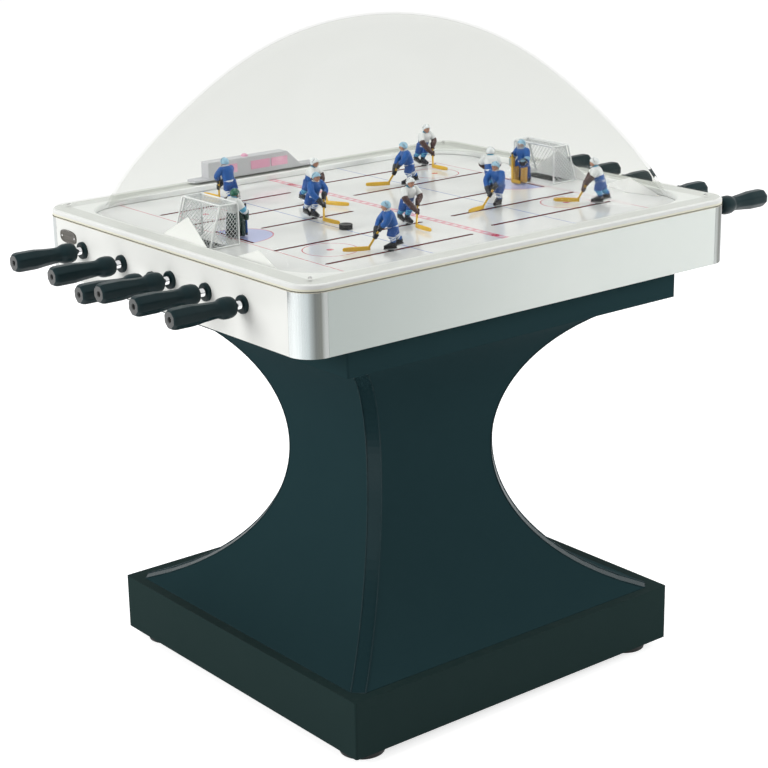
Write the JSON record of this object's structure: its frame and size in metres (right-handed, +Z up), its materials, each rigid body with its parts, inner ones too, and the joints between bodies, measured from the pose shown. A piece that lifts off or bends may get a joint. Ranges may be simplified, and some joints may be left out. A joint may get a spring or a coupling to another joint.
{
  "type": "rod hockey table",
  "caption": "Domed table hockey game on a waisted black pedestal, with rods at both ends that slide and turn skaters in slotted ice and move the goalies.",
  "frame": {"origin": "on the floor, under the middle of the rink, at the centre of the four feet", "axes": "+X along the rods towards the blue team's end, +Y across the table towards the scoreboard, +Z up"},
  "size_m": [1.4154, 0.824, 1.25],
  "materials": {
    "foot_rubber": "matte moulded rubber",
    "black_laminate": "semi-gloss black laminate",
    "black_trim": "gloss black edging",
    "raw_board": "bare particle board",
    "white_panel": "white laminate, satin",
    "corner_aluminium": "satin extruded aluminium",
    "ice": "glossy printed ice sheet",
    "rim_plastic": "cream plastic edging",
    "clear_dome": "clear vacuum-formed acrylic",
    "goal_wire": "white coated wire",
    "net_cord": "white net",
    "ramp_plastic": "white moulded plastic",
    "scoreboard_grey": "grey moulded plastic",
    "scoreboard_red": "red tinted window",
    "black_plastic": "black moulded plastic",
    "dark_nylon": "dark grey nylon",
    "puck_rubber": "black puck",
    "chrome_rod": "plated steel rod with black grip",
    "white_team": "white jersey figure",
    "blue_team": "blue jersey figure"
  },
  "bodies": {
    "table": {"levelling_feet": "foot_rubber", "plinth": "black_laminate", "pedestal_panel_left": "black_laminate", "pedestal_panel_right": "black_laminate", "pedestal_panel_front": "black_laminate", "pedestal_panel_back": "black_laminate", "pedestal_corner_strips": "black_trim", "pedestal_top_board": "black_laminate", "cabinet_floor": "raw_board", "end_panels": "white_panel", "side_panels": "white_panel", "corner_posts": "corner_aluminium", "deck_cleats": "raw_board", "ice_deck": "ice", "rim_frame": "rim_plastic", "dome": "clear_dome", "goal_frames": "goal_wire", "goal_nets": "net_cord", "puck_ramps": "ramp_plastic", "scoreboard_case": "scoreboard_grey", "scoreboard_windows": "scoreboard_red", "rod_bushings": "black_plastic", "goalie_brackets": "dark_nylon"},
    "puck": {"puck": "puck_rubber"},
    "white_left_wing_rod": {"white_left_wing_rod": "chrome_rod"},
    "white_left_wing_block": {"white_left_wing_block": "dark_nylon"},
    "white_left_wing_player": {"white_left_wing_player": "white_team"},
    "white_centre_rod": {"white_centre_rod": "chrome_rod"},
    "white_centre_block": {"white_centre_block": "dark_nylon"},
    "white_centre_player": {"white_centre_player": "white_team"},
    "white_right_wing_rod": {"white_right_wing_rod": "chrome_rod"},
    "white_right_wing_block": {"white_right_wing_block": "dark_nylon"},
    "white_right_wing_player": {"white_right_wing_player": "white_team"},
    "white_left_defence_rod": {"white_left_defence_rod": "chrome_rod"},
    "white_left_defence_block": {"white_left_defence_block": "dark_nylon"},
    "white_left_defence_player": {"white_left_defence_player": "white_team"},
    "white_right_defence_rod": {"white_right_defence_rod": "chrome_rod"},
    "white_right_defence_block": {"white_right_defence_block": "dark_nylon"},
    "white_right_defence_player": {"white_right_defence_player": "white_team"},
    "white_goalie_rod": {"white_goalie_rod": "chrome_rod"},
    "white_goalie_slider": {"white_goalie_rack": "dark_nylon", "white_goalie_figure": "white_team"},
    "blue_left_wing_rod": {"blue_left_wing_rod": "chrome_rod"},
    "blue_left_wing_block": {"blue_left_wing_block": "dark_nylon"},
    "blue_left_wing_player": {"blue_left_wing_player": "blue_team"},
    "blue_centre_rod": {"blue_centre_rod": "chrome_rod"},
    "blue_centre_block": {"blue_centre_block": "dark_nylon"},
    "blue_centre_player": {"blue_centre_player": "blue_team"},
    "blue_right_wing_rod": {"blue_right_wing_rod": "chrome_rod"},
    "blue_right_wing_block": {"blue_right_wing_block": "dark_nylon"},
    "blue_right_wing_player": {"blue_right_wing_player": "blue_team"},
    "blue_left_defence_rod": {"blue_left_defence_rod": "chrome_rod"},
    "blue_left_defence_block": {"blue_left_defence_block": "dark_nylon"},
    "blue_left_defence_player": {"blue_left_defence_player": "blue_team"},
    "blue_right_defence_rod": {"blue_right_defence_rod": "chrome_rod"},
    "blue_right_defence_block": {"blue_right_defence_block": "dark_nylon"},
    "blue_right_defence_player": {"blue_right_defence_player": "blue_team"},
    "blue_goalie_rod": {"blue_goalie_rod": "chrome_rod"},
    "blue_goalie_slider": {"blue_goalie_rack": "dark_nylon", "blue_goalie_figure": "blue_team"}
  },
  "joints": [
    {"name": "puck_glide", "type": "slide", "parent": "table", "child": "puck", "axis": [1, 0, 0], "range_m": [-0.12, 0.15]},
    {"name": "white_left_wing_slide", "type": "slide", "parent": "table", "child": "white_left_wing_block", "axis": [1, 0, 0], "range_m": [-0.267, 0.008]},
    {"name": "white_left_wing_twist", "type": "hinge", "parent": "white_left_wing_block", "child": "white_left_wing_rod", "pos_m": [0.318, 0.27, 0.841], "axis": [1, 0, 0], "continuous": true},
    {"name": "white_left_wing_turn", "type": "hinge", "parent": "white_left_wing_block", "child": "white_left_wing_player", "pos_m": [0.318, 0.27, 0.888], "axis": [0, 0, 1], "continuous": true},
    {"name": "white_centre_slide", "type": "slide", "parent": "table", "child": "white_centre_block", "axis": [1, 0, 0], "range_m": [-0.15, 0.008]},
    {"name": "white_centre_twist", "type": "hinge", "parent": "white_centre_block", "child": "white_centre_rod", "pos_m": [0.24, -0.024, 0.841], "axis": [1, 0, 0], "continuous": true},
    {"name": "white_centre_turn", "type": "hinge", "parent": "white_centre_block", "child": "white_centre_player", "pos_m": [0.24, -0.024, 0.888], "axis": [0, 0, 1], "continuous": true},
    {"name": "white_right_wing_slide", "type": "slide", "parent": "table", "child": "white_right_wing_block", "axis": [1, 0, 0], "range_m": [-0.241, 0.008]},
    {"name": "white_right_wing_twist", "type": "hinge", "parent": "white_right_wing_block", "child": "white_right_wing_rod", "pos_m": [0.316, -0.242, 0.841], "axis": [1, 0, 0], "continuous": true},
    {"name": "white_right_wing_turn", "type": "hinge", "parent": "white_right_wing_block", "child": "white_right_wing_player", "pos_m": [0.316, -0.242, 0.888], "axis": [0, 0, 1], "continuous": true},
    {"name": "white_left_defence_slide", "type": "slide", "parent": "table", "child": "white_left_defence_block", "axis": [1, 0, 0], "range_m": [-0.254, 0.008]},
    {"name": "white_left_defence_twist", "type": "hinge", "parent": "white_left_defence_block", "child": "white_left_defence_rod", "pos_m": [-0.076, 0.134, 0.841], "axis": [1, 0, 0], "continuous": true},
    {"name": "white_left_defence_turn", "type": "hinge", "parent": "white_left_defence_block", "child": "white_left_defence_player", "pos_m": [-0.076, 0.134, 0.888], "axis": [0, 0, 1], "continuous": true},
    {"name": "white_right_defence_slide", "type": "slide", "parent": "table", "child": "white_right_defence_block", "axis": [1, 0, 0], "range_m": [-0.272, 0.008]},
    {"name": "white_right_defence_twist", "type": "hinge", "parent": "white_right_defence_block", "child": "white_right_defence_rod", "pos_m": [-0.058, -0.134, 0.841], "axis": [1, 0, 0], "continuous": true},
    {"name": "white_right_defence_turn", "type": "hinge", "parent": "white_right_defence_block", "child": "white_right_defence_player", "pos_m": [-0.058, -0.134, 0.888], "axis": [0, 0, 1], "continuous": true},
    {"name": "white_goalie_twist", "type": "hinge", "parent": "table", "child": "white_goalie_rod", "pos_m": [-0.5, 0.035, 0.829], "axis": [1, 0, 0], "range_deg": [-99.64, 99.64]},
    {"name": "white_goalie_slide", "type": "slide", "parent": "table", "child": "white_goalie_slider", "axis": [0, 1, 0], "range_m": [-0.04, 0.04]},
    {"name": "blue_left_wing_slide", "type": "slide", "parent": "table", "child": "blue_left_wing_block", "axis": [-1, 0, 0], "range_m": [-0.158, 0.117]},
    {"name": "blue_left_wing_twist", "type": "hinge", "parent": "blue_left_wing_block", "child": "blue_left_wing_rod", "pos_m": [-0.209, -0.27, 0.841], "axis": [-1, 0, 0], "continuous": true},
    {"name": "blue_left_wing_turn", "type": "hinge", "parent": "blue_left_wing_block", "child": "blue_left_wing_player", "pos_m": [-0.209, -0.27, 0.888], "axis": [0, 0, 1], "continuous": true},
    {"name": "blue_centre_slide", "type": "slide", "parent": "table", "child": "blue_centre_block", "axis": [-1, 0, 0], "range_m": [-0.062, 0.096]},
    {"name": "blue_centre_twist", "type": "hinge", "parent": "blue_centre_block", "child": "blue_centre_rod", "pos_m": [-0.152, 0.024, 0.841], "axis": [-1, 0, 0], "continuous": true},
    {"name": "blue_centre_turn", "type": "hinge", "parent": "blue_centre_block", "child": "blue_centre_player", "pos_m": [-0.152, 0.024, 0.888], "axis": [0, 0, 1], "continuous": true},
    {"name": "blue_right_wing_slide", "type": "slide", "parent": "table", "child": "blue_right_wing_block", "axis": [-1, 0, 0], "range_m": [-0.118, 0.131]},
    {"name": "blue_right_wing_twist", "type": "hinge", "parent": "blue_right_wing_block", "child": "blue_right_wing_rod", "pos_m": [-0.193, 0.242, 0.841], "axis": [-1, 0, 0], "continuous": true},
    {"name": "blue_right_wing_turn", "type": "hinge", "parent": "blue_right_wing_block", "child": "blue_right_wing_player", "pos_m": [-0.193, 0.242, 0.888], "axis": [0, 0, 1], "continuous": true},
    {"name": "blue_left_defence_slide", "type": "slide", "parent": "table", "child": "blue_left_defence_block", "axis": [-1, 0, 0], "range_m": [-0.17, 0.092]},
    {"name": "blue_left_defence_twist", "type": "hinge", "parent": "blue_left_defence_block", "child": "blue_left_defence_rod", "pos_m": [0.16, -0.134, 0.841], "axis": [-1, 0, 0], "continuous": true},
    {"name": "blue_left_defence_turn", "type": "hinge", "parent": "blue_left_defence_block", "child": "blue_left_defence_player", "pos_m": [0.16, -0.134, 0.888], "axis": [0, 0, 1], "continuous": true},
    {"name": "blue_right_defence_slide", "type": "slide", "parent": "table", "child": "blue_right_defence_block", "axis": [-1, 0, 0], "range_m": [-0.168, 0.112]},
    {"name": "blue_right_defence_twist", "type": "hinge", "parent": "blue_right_defence_block", "child": "blue_right_defence_rod", "pos_m": [0.162, 0.134, 0.841], "axis": [-1, 0, 0], "continuous": true},
    {"name": "blue_right_defence_turn", "type": "hinge", "parent": "blue_right_defence_block", "child": "blue_right_defence_player", "pos_m": [0.162, 0.134, 0.888], "axis": [0, 0, 1], "continuous": true},
    {"name": "blue_goalie_twist", "type": "hinge", "parent": "table", "child": "blue_goalie_rod", "pos_m": [0.5, -0.035, 0.829], "axis": [-1, 0, 0], "range_deg": [-99.64, 99.64]},
    {"name": "blue_goalie_slide", "type": "slide", "parent": "table", "child": "blue_goalie_slider", "axis": [0, -1, 0], "range_m": [-0.04, 0.04]}
  ],
  "couplings": [
    {"joint": "white_left_wing_turn", "follows": "white_left_wing_twist", "ratio": 1},
    {"joint": "white_centre_turn", "follows": "white_centre_twist", "ratio": 1},
    {"joint": "white_right_wing_turn", "follows": "white_right_wing_twist", "ratio": 1},
    {"joint": "white_left_defence_turn", "follows": "white_left_defence_twist", "ratio": 1},
    {"joint": "white_right_defence_turn", "follows": "white_right_defence_twist", "ratio": 1},
    {"joint": "white_goalie_slide", "follows": "white_goalie_twist", "m_per_rad": -0.023},
    {"joint": "blue_left_wing_turn", "follows": "blue_left_wing_twist", "ratio": 1},
    {"joint": "blue_centre_turn", "follows": "blue_centre_twist", "ratio": 1},
    {"joint": "blue_right_wing_turn", "follows": "blue_right_wing_twist", "ratio": 1},
    {"joint": "blue_left_defence_turn", "follows": "blue_left_defence_twist", "ratio": 1},
    {"joint": "blue_right_defence_turn", "follows": "blue_right_defence_twist", "ratio": 1},
    {"joint": "blue_goalie_slide", "follows": "blue_goalie_twist", "m_per_rad": -0.023}
  ]
}
